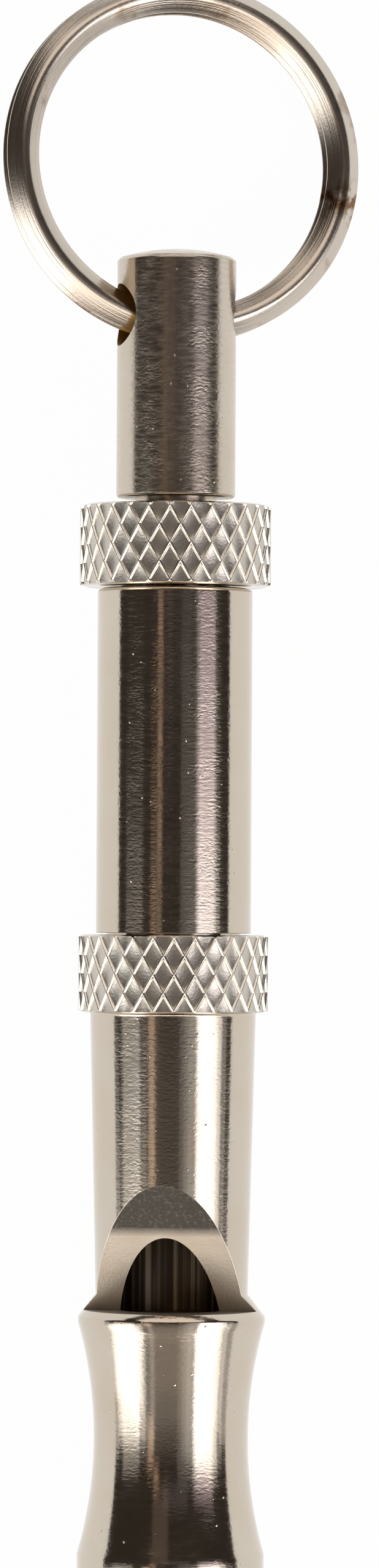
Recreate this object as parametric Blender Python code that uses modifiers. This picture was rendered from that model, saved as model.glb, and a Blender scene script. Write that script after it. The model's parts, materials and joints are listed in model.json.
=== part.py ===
"""Adjustable ultrasonic whistle with its split ring, lying on its side with the sound window up.

Metres, +Z up. The whistle's axis runs along +Y, from the middle of the mouth end at the origin to the
split ring. Turned pieces are drawn upright, as a profile at +X turned about Z. The empty whistle_axis
lays them down: it turns local +Z into world +Y and local -Y into world +Z.
"""

from math import asin, atan2, cos, hypot, pi, radians, sin, sqrt, tan, tau

import bmesh
import bpy

MM = 0.001

# Mouthpiece, from the mouth end upwards
MOUTH_RIM_RADIUS = 5.6 * MM
MOUTH_WAIST_RADIUS = 4.62 * MM
MOUTH_LENGTH = 15.7 * MM
LIP_ROUND = 0.6 * MM
LIP_LAND = 0.9 * MM
RIM_LAND = 0.35 * MM

# Sounding tube with the window
BORE_RADIUS = 3.1 * MM
SHOULDER_LENGTH = 1.35 * MM
TUBE_LENGTH = 16.9 * MM
TUBE_BOTTOM_RADIUS = 4.56 * MM
TUBE_TOP_RADIUS = 4.97 * MM
WINDOW_LEDGE = 0.4 * MM
WINDOW_BACK_DEPTH = 0.85 * MM
WINDOW_SLOPE = radians(26.9)
WINDOW_ROLL = radians(7.0)

# Knurled collar at the top of the sounding tube
COLLAR_RADIUS = 5.7 * MM
COLLAR_LENGTH = 4.65 * MM
COLLAR_FILLET = 0.2 * MM
KNURL_COUNT = 28
KNURL_ROWS = 4
KNURL_DEPTH = 0.3 * MM
KNURL_CHAMFER = 0.2 * MM

# Barrel, screwed into the collar
BARREL_RADIUS = 4.65 * MM
BARREL_LENGTH = 20.7 * MM
BARREL_CHAMFER = 0.3 * MM
SPIGOT_RADIUS = 4.0 * MM
SPIGOT_LENGTH = 4.6 * MM
THREADED_LENGTH = 8.0 * MM

# Lock nut
NUT_RADIUS = 5.75 * MM
NUT_LENGTH = 4.9 * MM
NUT_TURN = radians(3.2)
THREAD_MOUTH_CHAMFER = 0.25 * MM

# Tuning screw: stem, thread, rod and riveted tenon
STEM_RADIUS = 3.57 * MM
STEM_LENGTH = 14.45 * MM
STEM_EDGE = 0.2 * MM
STEM_DOME = 0.5 * MM
STEM_GAP = 0.45 * MM
STEM_TURN = radians(16.0)
CROSS_HOLE_BELOW_TOP = 3.5 * MM
THREAD_RADIUS = 3.0 * MM
THREAD_PITCH = 1.0 * MM
THREAD_DEPTH = 0.55 * MM
THREAD_LENGTH = 22.9 * MM
ROD_RADIUS = 2.0 * MM
TENON_RADIUS = 1.45 * MM
RIVET_RADIUS = 2.1 * MM
RIVET_LENGTH = 1.0 * MM

# Piston on the tenon
PISTON_LENGTH = 5.0 * MM
PISTON_ABOVE_WINDOW = 3.5 * MM

# Windway plug
WINDWAY_HEIGHT = 0.7 * MM
PLUG_SETBACK = 0.2 * MM

# Split ring of two flat turns
RING_RADIUS = 11.0 * MM
RING_WIRE_WIDTH = 2.05 * MM
RING_WIRE_THICKNESS = 0.7 * MM
RING_TURN_GAP = 0.42 * MM
RING_WIRE_ROUND = 0.18 * MM
RING_SPLIT_ANGLE = radians(-79.0)
RING_CROSSOVER = radians(22.0)
RING_END_GAP = radians(3.0)
RING_SHIFT = 0.5 * MM
RING_LEAN = radians(4.0)

# Clearances
RUNNING_GAP = 0.08 * MM
SEAT_GAP = 0.1 * MM
RING_PLAY = 0.1 * MM

# Facets
STEPS = 2 * KNURL_COUNT
THREAD_STEPS = 24
ARC_STEPS = 12
ROUND_STEPS = 4
RING_POINTS_PER_TURN = 48
CUT_MARGIN = 2.0 * MM
SAME = 0.001 * MM

# Heights along the axis that the sizes above lead to
SHOULDER_TOP = MOUTH_LENGTH + SHOULDER_LENGTH
WINDOW_BOTTOM = MOUTH_LENGTH + WINDOW_LEDGE
WINDOW_TOP_IN_BORE = WINDOW_BOTTOM + (BORE_RADIUS - WINDOW_BACK_DEPTH) / tan(WINDOW_SLOPE)
COLLAR_BOTTOM = SHOULDER_TOP + TUBE_LENGTH
COLLAR_TOP = COLLAR_BOTTOM + COLLAR_LENGTH
BARREL_SEAT = COLLAR_TOP + SEAT_GAP
BARREL_TOP = BARREL_SEAT + BARREL_LENGTH
SPIGOT_END = BARREL_SEAT - SPIGOT_LENGTH
SOCKET_FLOOR = SPIGOT_END - SEAT_GAP
THREADED_BOTTOM = BARREL_TOP - THREADED_LENGTH
NUT_BOTTOM = BARREL_TOP + SEAT_GAP
NUT_TOP = NUT_BOTTOM + NUT_LENGTH
STEM_BOTTOM = NUT_TOP + STEM_GAP
STEM_TOP = STEM_BOTTOM + STEM_LENGTH
CROSS_HOLE_HEIGHT = STEM_TOP - CROSS_HOLE_BELOW_TOP
THREAD_END = STEM_BOTTOM - THREAD_LENGTH
PISTON_BOTTOM = WINDOW_TOP_IN_BORE + PISTON_ABOVE_WINDOW
PISTON_TOP = PISTON_BOTTOM + PISTON_LENGTH
RIVET_BOTTOM = PISTON_BOTTOM + SEAT_GAP
RIVET_TOP = RIVET_BOTTOM + RIVET_LENGTH
RIVET_RECESS_TOP = RIVET_TOP + SEAT_GAP
ROD_END = PISTON_TOP + SEAT_GAP
PLUG_TOP = WINDOW_BOTTOM - PLUG_SETBACK

# Radii that fit round another piece
SOCKET_RADIUS = SPIGOT_RADIUS + RUNNING_GAP
TAPPED_RADIUS = THREAD_RADIUS + RUNNING_GAP
PISTON_RADIUS = BORE_RADIUS - RUNNING_GAP
PLUG_RADIUS = BORE_RADIUS - RUNNING_GAP
TENON_HOLE_RADIUS = TENON_RADIUS + RUNNING_GAP
RIVET_RECESS_RADIUS = RIVET_RADIUS + SEAT_GAP

# The ring's own sizes. It has slid a little along the cross hole, where its bowed wire keeps to the middle
RING_INNER_RADIUS = RING_RADIUS - RING_WIRE_WIDTH
RING_PITCH = RING_WIRE_THICKNESS + RING_TURN_GAP
RING_HEIGHT = RING_PITCH + RING_WIRE_THICKNESS
RING_BOW_TOP = sqrt(RING_INNER_RADIUS**2 - (STEM_RADIUS + RING_SHIFT) ** 2)
RING_REACH = (RING_RADIUS + RING_BOW_TOP) / 2
CROSS_HOLE_RADIUS = hypot((RING_RADIUS - RING_BOW_TOP) / 2, RING_HEIGHT / 2) + RING_PLAY


def clear_scene():
    for old in list(bpy.data.objects):
        bpy.data.objects.remove(old, do_unlink=True)


def collection_named(name):
    made = bpy.data.collections.new(name)
    bpy.context.scene.collection.children.link(made)
    return made


def metal(name, colour, roughness):
    made = bpy.data.materials.new(name)
    made.use_nodes = True
    shader = made.node_tree.nodes["Principled BSDF"]
    shader.inputs["Base Color"].default_value = (*colour, 1.0)
    shader.inputs["Metallic"].default_value = 1.0
    shader.inputs["Roughness"].default_value = roughness
    return made


def add_empty(name, parent=None, location=(0.0, 0.0, 0.0), rotation=(0.0, 0.0, 0.0)):
    made = bpy.data.objects.new(name, None)
    PARTS.objects.link(made)
    made.parent = parent
    made.location = location
    made.rotation_euler = rotation
    made.empty_display_size = 5 * MM
    return made


def add_part(name, data, parent, material):
    made = bpy.data.objects.new(name, data)
    PARTS.objects.link(made)
    made.parent = parent
    data.materials.append(material)
    return made


def add_cutter(name, data, parent):
    made = bpy.data.objects.new(name, data)
    CUTTERS.objects.link(made)
    made.parent = parent
    made.hide_render = True
    made.display_type = "WIRE"
    return made


def evaluated_mesh(source):
    """The object's mesh with its modifiers worked in, after which the object itself is removed."""
    depsgraph = bpy.context.evaluated_depsgraph_get()
    made = bpy.data.meshes.new_from_object(source.evaluated_get(depsgraph))
    made.name = source.name
    bpy.data.objects.remove(source, do_unlink=True)
    return made


def turned_mesh(name, outline, closed=True, steps=STEPS, rise=0.0, turns=1):
    """A profile of (radius, height) points, outer side first and downwards, turned about Z."""
    profile = bpy.data.meshes.new(name)
    count = len(outline)
    links = [(i, i + 1) for i in range(count - 1)]
    if closed:
        links.append((count - 1, 0))
    profile.from_pydata([(radius, 0.0, height) for radius, height in outline], links, [])
    source = bpy.data.objects.new(name, profile)
    CUTTERS.objects.link(source)
    screw = source.modifiers.new("turn", "SCREW")
    screw.axis = "Z"
    screw.steps = steps
    screw.render_steps = steps
    screw.screw_offset = rise
    screw.iterations = turns
    screw.use_merge_vertices = True
    screw.merge_threshold = SAME
    return evaluated_mesh(source)


def arc(centre, radius, start, end, steps=ROUND_STEPS):
    """Points on a circle arc in the profile's plane, with angles counted from the outward radius."""
    angles = [start + (end - start) * i / steps for i in range(steps + 1)]
    return [(centre[0] + radius * cos(a), centre[1] + radius * sin(a)) for a in angles]


def hourglass(rim_radius, waist_radius, top, bottom):
    """The mouthpiece's hollow side: one arc from rim to rim through the waist."""
    half = (top - bottom) / 2
    drop = rim_radius - waist_radius
    radius = (half**2 + drop**2) / (2 * drop)
    spread = asin(half / radius)
    return arc((waist_radius + radius, bottom + half), radius, pi - spread, pi + spread, ARC_STEPS)


def knurl_heights(top, bottom):
    return [top + (bottom - top) * row / KNURL_ROWS for row in range(KNURL_ROWS + 1)]


def knurl(mesh, heights, crest_radius):
    """Raise the crossings of two sets of slanting ridges, and sink the diamond pits between them."""
    work = bmesh.new()
    work.from_mesh(mesh)
    band = set()
    for vertex in work.verts:
        radius = hypot(vertex.co.x, vertex.co.y)
        if radius < crest_radius - KNURL_DEPTH - SAME:
            continue
        for row, height in enumerate(heights):
            if abs(vertex.co.z - height) < SAME:
                column = round(atan2(vertex.co.y, vertex.co.x) / tau * STEPS)
                sunk = (row + column) % 2 * KNURL_DEPTH
                vertex.co.xy *= (crest_radius - sunk) / radius
                band.add(vertex)
    faces = [face for face in work.faces if all(vertex in band for vertex in face.verts)]
    bmesh.ops.triangulate(work, faces=faces, quad_method="LONG_EDGE")
    work.to_mesh(mesh)
    work.free()


def outline_prism(name, outline, half_length, parent):
    """A cutter from a flat outline, drawn in local XY and drawn out along Z to both sides."""
    curve = bpy.data.curves.new(name, "CURVE")
    curve.dimensions = "2D"
    curve.fill_mode = "BOTH"
    curve.extrude = half_length
    spline = curve.splines.new("POLY")
    spline.points.add(len(outline) - 1)
    for point, (x, y) in zip(spline.points, outline):
        point.co = (x, y, 0.0, 1.0)
    spline.use_cyclic_u = True
    source = bpy.data.objects.new(name, curve)
    CUTTERS.objects.link(source)
    mesh = evaluated_mesh(source)
    work = bmesh.new()
    work.from_mesh(mesh)
    bmesh.ops.remove_doubles(work, verts=work.verts, dist=SAME)
    bmesh.ops.recalc_face_normals(work, faces=work.faces)
    work.to_mesh(mesh)
    work.free()
    return add_cutter(name, mesh, parent)


def join(target, cutter, operation="DIFFERENCE"):
    made = target.modifiers.new(cutter.name, "BOOLEAN")
    made.operation = operation
    made.solver = "EXACT"
    made.object = cutter


def smooth(mesh):
    mesh.shade_smooth()
    mesh.set_sharp_from_angle(angle=radians(30.0))


def make_whistle_body(side):
    """Mouthpiece, sounding tube and knurled collar, turned from one bar and bored through."""
    land_top = LIP_ROUND + LIP_LAND
    rim_bottom = MOUTH_LENGTH - RIM_LAND
    crest_bottom = COLLAR_BOTTOM + KNURL_CHAMFER
    rows = knurl_heights(COLLAR_TOP - KNURL_CHAMFER, crest_bottom)
    root_radius = COLLAR_RADIUS - KNURL_DEPTH - KNURL_CHAMFER
    outline = [(root_radius, COLLAR_TOP)]
    outline += [(COLLAR_RADIUS, height) for height in rows]
    outline.append((root_radius, COLLAR_BOTTOM))
    fillet_centre = (TUBE_TOP_RADIUS + COLLAR_FILLET, COLLAR_BOTTOM - COLLAR_FILLET)
    outline += arc(fillet_centre, COLLAR_FILLET, pi / 2, pi)
    outline += [(TUBE_BOTTOM_RADIUS, SHOULDER_TOP), (MOUTH_RIM_RADIUS, MOUTH_LENGTH)]
    outline += hourglass(MOUTH_RIM_RADIUS, MOUTH_WAIST_RADIUS, rim_bottom, land_top)
    lip_centre = (MOUTH_RIM_RADIUS - LIP_ROUND, LIP_ROUND)
    outline += arc(lip_centre, LIP_ROUND, 0.0, -pi / 2)
    outline += [(BORE_RADIUS, 0.0), (BORE_RADIUS, SOCKET_FLOOR)]
    outline += [(SOCKET_RADIUS, SOCKET_FLOOR), (SOCKET_RADIUS, COLLAR_TOP)]
    mesh = turned_mesh("whistle_body", outline)
    knurl(mesh, rows, COLLAR_RADIUS)
    smooth(mesh)
    body = add_part("whistle_body", mesh, side, NICKEL)
    far = MOUTH_RIM_RADIUS + CUT_MARGIN
    rise = (far - WINDOW_BACK_DEPTH) / tan(WINDOW_SLOPE)
    wedge = [(WINDOW_BACK_DEPTH, 0.0), (far, 0.0), (far, rise)]
    window = outline_prism("window_cutter", wedge, far, side)
    window.location = (0.0, 0.0, WINDOW_BOTTOM)
    window.rotation_euler = (pi / 2, 0.0, -pi / 2)
    join(body, window)


def make_windway_plug(side):
    """The block pressed into the mouthpiece, with a flat that leaves the slit for the breath."""
    outline = [(0.0, PLUG_TOP), (PLUG_RADIUS, PLUG_TOP), (PLUG_RADIUS, 0.0), (0.0, 0.0)]
    mesh = turned_mesh("windway_plug", outline, closed=False)
    smooth(mesh)
    plug = add_part("windway_plug", mesh, side, BRASS)
    flat = BORE_RADIUS - WINDWAY_HEIGHT
    far = BORE_RADIUS + CUT_MARGIN
    corners = [(-far, -far), (far, -far), (far, -flat), (-far, -flat)]
    slit = outline_prism("windway_cutter", corners, PLUG_TOP + CUT_MARGIN, side)
    join(plug, slit)


def make_barrel(axis):
    """The tube above the collar: spigot below, bore for the piston, tapped hole on top."""
    chamfer = THREAD_MOUTH_CHAMFER
    outline = [
        (BARREL_RADIUS - BARREL_CHAMFER, BARREL_TOP),
        (BARREL_RADIUS, BARREL_TOP - BARREL_CHAMFER),
        (BARREL_RADIUS, BARREL_SEAT),
        (SPIGOT_RADIUS, BARREL_SEAT),
        (SPIGOT_RADIUS, SPIGOT_END),
        (BORE_RADIUS, SPIGOT_END),
        (BORE_RADIUS, THREADED_BOTTOM),
        (TAPPED_RADIUS, THREADED_BOTTOM),
        (TAPPED_RADIUS, BARREL_TOP - chamfer),
        (TAPPED_RADIUS + chamfer, BARREL_TOP),
    ]
    mesh = turned_mesh("barrel", outline)
    smooth(mesh)
    add_part("barrel", mesh, axis, NICKEL)


def make_lock_nut(axis):
    """The knurled nut that jams on the barrel's top face."""
    chamfer = THREAD_MOUTH_CHAMFER
    rows = knurl_heights(NUT_TOP - KNURL_CHAMFER, NUT_BOTTOM + KNURL_CHAMFER)
    root_radius = NUT_RADIUS - KNURL_DEPTH - KNURL_CHAMFER
    outline = [(root_radius, NUT_TOP)]
    outline += [(NUT_RADIUS, height) for height in rows]
    outline += [
        (root_radius, NUT_BOTTOM),
        (TAPPED_RADIUS + chamfer, NUT_BOTTOM),
        (TAPPED_RADIUS, NUT_BOTTOM + chamfer),
        (TAPPED_RADIUS, NUT_TOP - chamfer),
        (TAPPED_RADIUS + chamfer, NUT_TOP),
    ]
    mesh = turned_mesh("lock_nut", outline)
    knurl(mesh, rows, NUT_RADIUS)
    smooth(mesh)
    nut = add_part("lock_nut", mesh, axis, NICKEL)
    nut.rotation_euler = (0.0, 0.0, NUT_TURN)


def make_thread(screw):
    """The screw's helical thread, one pitch longer at each end and then cut flat by a plain cylinder."""
    core = THREAD_RADIUS - THREAD_DEPTH
    turns = round(THREAD_LENGTH / THREAD_PITCH) + 2
    pitch = [(core, THREAD_PITCH), (THREAD_RADIUS, THREAD_PITCH / 2), (core, 0.0)]
    helix = turned_mesh("screw_thread", pitch, False, THREAD_STEPS, THREAD_PITCH, turns)
    work = bmesh.new()
    work.from_mesh(helix)
    bmesh.ops.holes_fill(work, edges=work.edges, sides=0)
    bmesh.ops.recalc_face_normals(work, faces=work.faces)
    work.to_mesh(helix)
    work.free()
    thread = add_cutter("screw_thread", helix, screw)
    thread.location = (0.0, 0.0, THREAD_END - THREAD_PITCH)
    wide = THREAD_RADIUS + CUT_MARGIN
    length = [(0.0, STEM_BOTTOM + STEM_EDGE), (wide, STEM_BOTTOM + STEM_EDGE)]
    length += [(wide, THREAD_END), (0.0, THREAD_END)]
    trim = add_cutter("thread_length", turned_mesh("thread_length", length, False), screw)
    join(thread, trim, "INTERSECT")
    return thread


def make_tuning_screw(axis):
    """Stem with its cross hole, thread, rod and the tenon that is riveted over in the piston."""
    rim = STEM_RADIUS - STEM_EDGE
    dome_radius = (rim**2 + STEM_DOME**2) / (2 * STEM_DOME)
    dome_centre = (0.0, STEM_TOP + STEM_DOME - dome_radius)
    dome = arc(dome_centre, dome_radius, pi / 2, pi / 2 - asin(rim / dome_radius))
    core = THREAD_RADIUS - THREAD_DEPTH
    outline = [(0.0, STEM_TOP + STEM_DOME)] + dome[1:]
    outline += [
        (STEM_RADIUS, STEM_TOP - STEM_EDGE),
        (STEM_RADIUS, STEM_BOTTOM + STEM_EDGE),
        (STEM_RADIUS - STEM_EDGE, STEM_BOTTOM),
        (core, STEM_BOTTOM),
        (core, THREAD_END),
        (ROD_RADIUS, THREAD_END),
        (ROD_RADIUS, ROD_END),
        (TENON_RADIUS, ROD_END),
        (TENON_RADIUS, RIVET_TOP),
        (RIVET_RADIUS, RIVET_TOP),
        (RIVET_RADIUS, RIVET_BOTTOM),
        (0.0, RIVET_BOTTOM),
    ]
    mesh = turned_mesh("tuning_screw", outline, closed=False)
    smooth(mesh)
    screw = add_part("tuning_screw", mesh, axis, NICKEL)
    screw.rotation_euler = (0.0, 0.0, STEM_TURN)
    join(screw, make_thread(screw), "UNION")
    reach = STEM_RADIUS + CUT_MARGIN
    length = [(0.0, reach), (CROSS_HOLE_RADIUS, reach), (CROSS_HOLE_RADIUS, -reach), (0.0, -reach)]
    hole = add_cutter("cross_hole_cutter", turned_mesh("cross_hole_cutter", length, False), screw)
    hole.location = (0.0, 0.0, CROSS_HOLE_HEIGHT)
    hole.rotation_euler = (0.0, pi / 2, 0.0)
    join(screw, hole)
    return screw


def make_piston(axis):
    """The sliding stopper of the sounding tube, free to turn on the screw's riveted tenon."""
    outline = [
        (PISTON_RADIUS, PISTON_TOP),
        (PISTON_RADIUS, PISTON_BOTTOM),
        (RIVET_RECESS_RADIUS, PISTON_BOTTOM),
        (RIVET_RECESS_RADIUS, RIVET_RECESS_TOP),
        (TENON_HOLE_RADIUS, RIVET_RECESS_TOP),
        (TENON_HOLE_RADIUS, PISTON_TOP),
    ]
    mesh = turned_mesh("piston", outline)
    smooth(mesh)
    add_part("piston", mesh, axis, BRASS)


def ring_path():
    """Centre points of the wire: a low turn, a crossover and a high turn, ending beside the crossover."""
    mean_radius = RING_RADIUS - RING_WIRE_WIDTH / 2
    climb_start = tau - RING_CROSSOVER
    finish = tau + climb_start - RING_END_GAP
    count = round(RING_POINTS_PER_TURN * finish / tau)
    points = []
    for i in range(count + 1):
        angle = RING_END_GAP + (finish - RING_END_GAP) * i / count
        climb = min(max((angle - climb_start) / RING_CROSSOVER, 0.0), 1.0)
        height = RING_PITCH * (climb * climb * (3 - 2 * climb) - 0.5)
        turn = RING_SPLIT_ANGLE + angle
        points.append((mean_radius * cos(turn), mean_radius * sin(turn), height))
    return points


def wire_section():
    """The flat wire's outline: width across the ring, thickness along its axis, corners taken off."""
    wide = RING_WIRE_WIDTH / 2
    thick = RING_WIRE_THICKNESS / 2
    cut = RING_WIRE_ROUND
    quarter = [(wide, thick - cut), (wide - cut, thick)]
    left = [(-x, y) for x, y in reversed(quarter)]
    upper = quarter + left
    return list(reversed(upper + [(-x, -y) for x, y in upper]))


def least_turn_gap(points):
    """The least distance between the section corners of the low turn and of the high turn."""
    section = wire_section()
    mean_radius = RING_RADIUS - RING_WIRE_WIDTH / 2
    rings = []
    for x, y, z in points:
        rings.append([(x * (1 + u / mean_radius), y * (1 + u / mean_radius), z + v) for u, v in section])
    half_turn = RING_POINTS_PER_TURN // 2
    least = RING_RADIUS
    for i, first in enumerate(rings):
        for second in rings[i + half_turn :]:
            for ax, ay, az in first:
                for bx, by, bz in second:
                    least = min(least, sqrt((ax - bx) ** 2 + (ay - by) ** 2 + (az - bz) ** 2))
    return least


def make_split_ring(screw):
    """One unbroken flat wire wound into two turns, hung through the stem's cross hole."""
    pivot = add_empty("ring_pivot", screw, (0.0, 0.0, CROSS_HOLE_HEIGHT), (-RING_LEAN, 0.0, 0.0))
    section = bpy.data.curves.new("wire_section", "CURVE")
    section.dimensions = "2D"
    corners = wire_section()
    rim = section.splines.new("POLY")
    rim.points.add(len(corners) - 1)
    for point, (x, y) in zip(rim.points, corners):
        point.co = (x, y, 0.0, 1.0)
    rim.use_cyclic_u = True
    guide = add_cutter("wire_section", section, None)
    path = ring_path()
    wire = bpy.data.curves.new("split_ring", "CURVE")
    wire.dimensions = "3D"
    wire.twist_mode = "Z_UP"
    wire.bevel_mode = "OBJECT"
    wire.bevel_object = guide
    wire.use_fill_caps = True
    spline = wire.splines.new("POLY")
    spline.points.add(len(path) - 1)
    for point, centre in zip(spline.points, path):
        point.co = (*centre, 1.0)
    ring = add_part("split_ring", wire, pivot, STEEL)
    ring.location = (RING_SHIFT, 0.0, RING_REACH)
    ring.rotation_euler = (pi / 2, 0.0, 0.0)
    print(f"split ring: least gap between its turns {least_turn_gap(path) / MM:.2f} mm")


clear_scene()
PARTS = collection_named("ultrasonic_whistle")
CUTTERS = collection_named("cutters")
NICKEL = metal("nickel_plate", (0.66, 0.61, 0.53), 0.2)
STEEL = metal("ring_steel", (0.62, 0.58, 0.52), 0.25)
BRASS = metal("brass", (0.78, 0.57, 0.23), 0.35)

whistle_axis = add_empty("whistle_axis", rotation=(-pi / 2, 0.0, 0.0))
window_side = add_empty("window_side", whistle_axis, rotation=(0.0, 0.0, -WINDOW_ROLL))
make_whistle_body(window_side)
make_windway_plug(window_side)
make_barrel(whistle_axis)
make_lock_nut(whistle_axis)
make_piston(whistle_axis)
tuning_screw = make_tuning_screw(whistle_axis)
make_split_ring(tuning_screw)
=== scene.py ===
"""Looks of an adjustable ultrasonic whistle, laid out as a Blender add-on and run as a script.

Metres, +Z up, the whistle's axis along +Y and its sound window up. Each operator models one piece over
its CAD node, at the place that the frame gives it, and the last one sets the stage.
"""

import json
from math import asin, atan2, cos, hypot, pi, radians, sin, sqrt, tan, tau

import bmesh
import bpy
from bpy.props import FloatProperty, FloatVectorProperty, IntProperty, PointerProperty
from mathutils import Matrix, Vector


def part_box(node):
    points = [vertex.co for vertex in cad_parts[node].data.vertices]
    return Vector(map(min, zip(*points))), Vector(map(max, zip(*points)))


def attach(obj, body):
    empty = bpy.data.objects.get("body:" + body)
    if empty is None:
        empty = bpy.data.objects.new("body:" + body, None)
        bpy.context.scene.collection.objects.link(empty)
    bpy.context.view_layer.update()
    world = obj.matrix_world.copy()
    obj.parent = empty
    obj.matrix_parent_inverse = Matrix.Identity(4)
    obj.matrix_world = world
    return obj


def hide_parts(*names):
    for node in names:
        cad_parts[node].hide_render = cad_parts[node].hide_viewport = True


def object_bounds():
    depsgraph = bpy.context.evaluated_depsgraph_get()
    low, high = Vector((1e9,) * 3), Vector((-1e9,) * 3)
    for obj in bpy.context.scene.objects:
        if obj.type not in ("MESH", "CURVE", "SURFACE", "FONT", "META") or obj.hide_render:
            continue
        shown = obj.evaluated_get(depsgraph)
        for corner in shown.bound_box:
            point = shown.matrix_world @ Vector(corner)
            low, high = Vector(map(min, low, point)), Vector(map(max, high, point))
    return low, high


bl_info = {
    "name": "Ultrasonic whistle",
    "version": (1, 0, 0),
    "blender": (4, 5, 0),
    "location": "3D View > Sidebar > Whistle",
    "description": "Models and finishes an adjustable ultrasonic whistle over its CAD frame",
    "category": "Object",
}

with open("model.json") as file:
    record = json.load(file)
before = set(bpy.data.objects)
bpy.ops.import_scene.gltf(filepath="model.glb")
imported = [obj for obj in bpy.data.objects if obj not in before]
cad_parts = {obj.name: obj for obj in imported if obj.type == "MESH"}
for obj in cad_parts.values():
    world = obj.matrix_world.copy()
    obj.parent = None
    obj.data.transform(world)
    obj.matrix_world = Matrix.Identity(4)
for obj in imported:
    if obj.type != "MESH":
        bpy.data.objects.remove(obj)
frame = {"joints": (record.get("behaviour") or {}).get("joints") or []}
CAD_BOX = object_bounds()

MM = 0.001
# Points closer than WELD are merged, and places closer than SAME count as the same
WELD = 0.0001 * MM
SAME = 0.01 * MM
SHARP_ANGLE = radians(32.0)
ORIGIN = (0.0, 0.0, 0.0)
ZERO_TO_ONE = {"min": 0.0, "max": 1.0}

# Steps that round shapes are made in
TURN_STEPS = 196
TOOL_STEPS = 96
ARC_STEPS = 6
WAIST_STEPS = 40
DOME_STEPS = 10
FLANK_STEPS = 6
THREAD_STEPS = 48
RING_STEPS = 150
CLIMB_STEPS = 20

# Sockets of the Mix node when it mixes colours
FACTOR, FIRST, SECOND, MIXED = 0, 6, 7, 2

# Heights along the axis that the frame gives
COLLAR_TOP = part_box("whistle_body")[1].y
SPIGOT_END, BARREL_TOP = (corner.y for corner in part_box("barrel"))
NUT_BOTTOM, NUT_TOP = (corner.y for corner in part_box("lock_nut"))
RIVET_BOTTOM, DOME_TOP = (corner.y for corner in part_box("tuning_screw"))
PISTON_BOTTOM, PISTON_TOP = (corner.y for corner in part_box("piston"))
PLUG_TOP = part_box("windway_plug")[1].y
FLOOR_HEIGHT = CAD_BOX[0].z

# The ring hangs in the stem's cross hole, whose axis is the ring's hinge
RING_HINGE = next(joint for joint in frame["joints"] if joint["name"] == "ring_swing")
HOLE_CENTRE = Vector(RING_HINGE["pos_m"])
HOLE_AXIS = Vector(RING_HINGE["axis"]).normalized()


def linear(hex_colour):
    """The linear red, green and blue of an sRGB hex colour."""
    channels = [int(hex_colour[start : start + 2], 16) / 255 for start in (1, 3, 5)]
    return tuple(c / 12.92 if c <= 0.04045 else ((c + 0.055) / 1.055) ** 2.4 for c in channels)


def length(label, description, millimetres):
    """A length property, given in millimetres and kept in metres."""
    default = millimetres * MM
    return FloatProperty(name=label, description=description, default=default, unit="LENGTH", precision=5)


def angle(label, description, degrees):
    """An angle property, given in degrees."""
    return FloatProperty(name=label, description=description, default=radians(degrees), subtype="ANGLE")


def share(label, description, default):
    """A plain number between nothing and all."""
    return FloatProperty(
        name=label, description=description, default=default, subtype="FACTOR", **ZERO_TO_ONE
    )


def colour(label, description, hex_colour):
    """A colour property, given as sRGB hex and kept linear."""
    default = linear(hex_colour)
    return FloatVectorProperty(
        name=label, description=description, default=default, size=3, subtype="COLOR", **ZERO_TO_ONE
    )


class WhistleBodySizes(bpy.types.PropertyGroup):
    """Sizes of the mouthpiece, the sounding tube and its window."""

    rim_radius: length("Rim radius", "Outer radius of the mouthpiece at both ends", 5.6)
    waist_radius: length("Waist radius", "Smallest radius of the hollow mouthpiece", 4.62)
    mouth_length: length("Mouthpiece length", "From the mouth end to the upper rim", 15.7)
    lip_round: length("Lip rounding", "Rounding of the mouth end's outer edge", 0.6)
    lip_land: length("Lip land", "Straight stretch above the rounded lip", 0.9)
    rim_land: length("Rim land", "Straight stretch below the upper rim", 0.35)
    rim_round: length("Rim rounding", "Rounding of the upper rim", 0.16)
    shoulder_length: length("Shoulder length", "Height of the cone from the rim to the tube", 1.35)
    tube_bottom_radius: length("Tube radius below", "Tube's radius above the shoulder", 4.56)
    tube_top_radius: length("Tube radius above", "Tube's radius below the collar", 4.97)
    bore_radius: length("Bore radius", "Radius of the sounding bore", 3.1)
    window_ledge: length("Window ledge", "From the rim up to the window's lower edge", 0.4)
    window_depth: length("Window depth", "Distance of the window's lower edge from the axis", 0.85)
    window_slope: angle("Window slope", "Slant of the window's cut to the axis", 26.9)
    window_roll: angle("Window roll", "Turn of the window about the axis, to the left seen from above", 7.0)
    window_edge: length("Window edge", "Width of the broken edge round the window", 0.12)
    collar_radius: length("Collar radius", "Radius over the knurl of the collar", 5.7)
    collar_length: length("Collar length", "Height of the knurled collar", 4.65)
    collar_fillet: length("Collar fillet", "Rounding under the collar", 0.2)
    socket_radius: length("Socket radius", "Radius of the socket for the barrel", 4.08)
    socket_gap: length("Socket gap", "Room between the socket's floor and the barrel", 0.1)


class WhistleKnurlSizes(bpy.types.PropertyGroup):
    """Sizes of the diamond knurl on the collar and the lock nut."""

    count: IntProperty(name="Diamonds round", description="Diamonds round the knurl", default=28, min=8)
    rows: IntProperty(name="Rows", description="Rows of diamonds, past both ends", default=3, min=1)
    height: length("Diamond height", "Height of one diamond along the axis", 2.2)
    depth: length("Pit depth", "Depth of a pit below the ridges", 0.15)
    ridge: length("Ridge", "Half the width of a rounded ridge between two pits", 0.15)
    chamfer: length("Chamfer", "Height of the chamfer at both ends of a knurl", 0.14)
    chamfer_depth: length("Chamfer depth", "Depth of the chamfer at both ends of a knurl", 0.34)


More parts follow.
